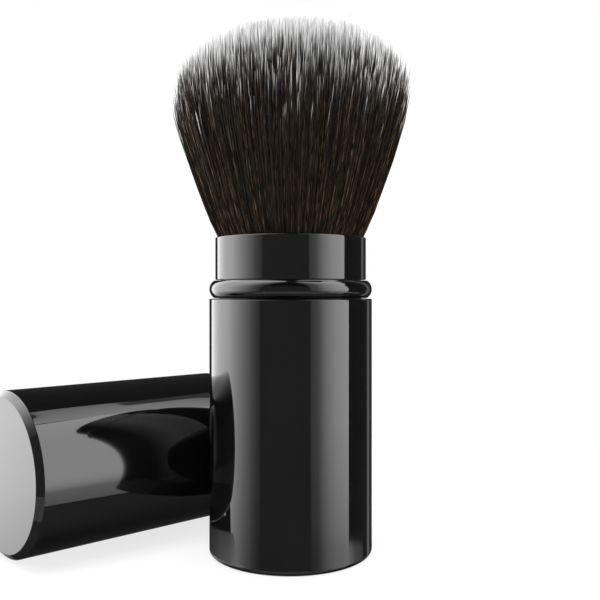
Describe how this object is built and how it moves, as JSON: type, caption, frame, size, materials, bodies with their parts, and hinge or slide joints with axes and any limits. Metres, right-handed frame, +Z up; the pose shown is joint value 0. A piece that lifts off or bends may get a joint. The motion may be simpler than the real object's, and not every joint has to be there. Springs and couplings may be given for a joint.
{
  "type": "retractable makeup brush",
  "caption": "Standing round makeup brush with a flared bristle head, a base that the head draws into through a sliding guide sleeve, and a separate cup-shaped cap lying beside it.",
  "frame": {"origin": "centre of the base's flat bottom, on the brush's axis", "axes": "+Z up along the brush's axis towards the bristle tips; the lying cap's axis is parallel to X, its closed end towards -X"},
  "size_m": [0.0695, 0.0737, 0.1086],
  "materials": {
    "black_lacquer": "gloss black lacquer on aluminium",
    "black_moulding": "satin moulded ABS",
    "black_rubber": "matt silicone",
    "zinc_plated_steel": "zinc plated",
    "aluminium": "satin drawn aluminium",
    "amber_resin": "clear amber epoxy",
    "bristle_fibre": "soft two-tone synthetic fibre, dark brown with pale tips"
  },
  "bodies": {
    "handle": {"base_shell": "black_lacquer", "base_liner": "black_moulding", "mouth_bush": "black_moulding", "friction_ring": "black_rubber", "core_post": "black_moulding", "post_screw": "zinc_plated_steel", "bristle_ferrule": "aluminium", "glue_plug": "amber_resin", "bristle_centre": "bristle_fibre", "bristle_flare": "bristle_fibre"},
    "sleeve": {"guide_sleeve": "black_moulding", "stop_ring": "zinc_plated_steel", "trim_ring": "black_lacquer", "collar": "black_lacquer"},
    "cap": {"cap_shell": "black_lacquer", "cap_liner": "black_moulding"}
  },
  "joints": [
    {"name": "sleeve_slide", "type": "slide", "parent": "handle", "child": "sleeve", "axis": [0, 0, 1], "range_m": [0, 0.0434], "deforming": ["bristle_flare"]},
    {"name": "cap_slide", "type": "slide", "parent": "handle", "child": "cap", "axis": [-1, 0, 0], "range_m": [0, 0.05]}
  ]
}
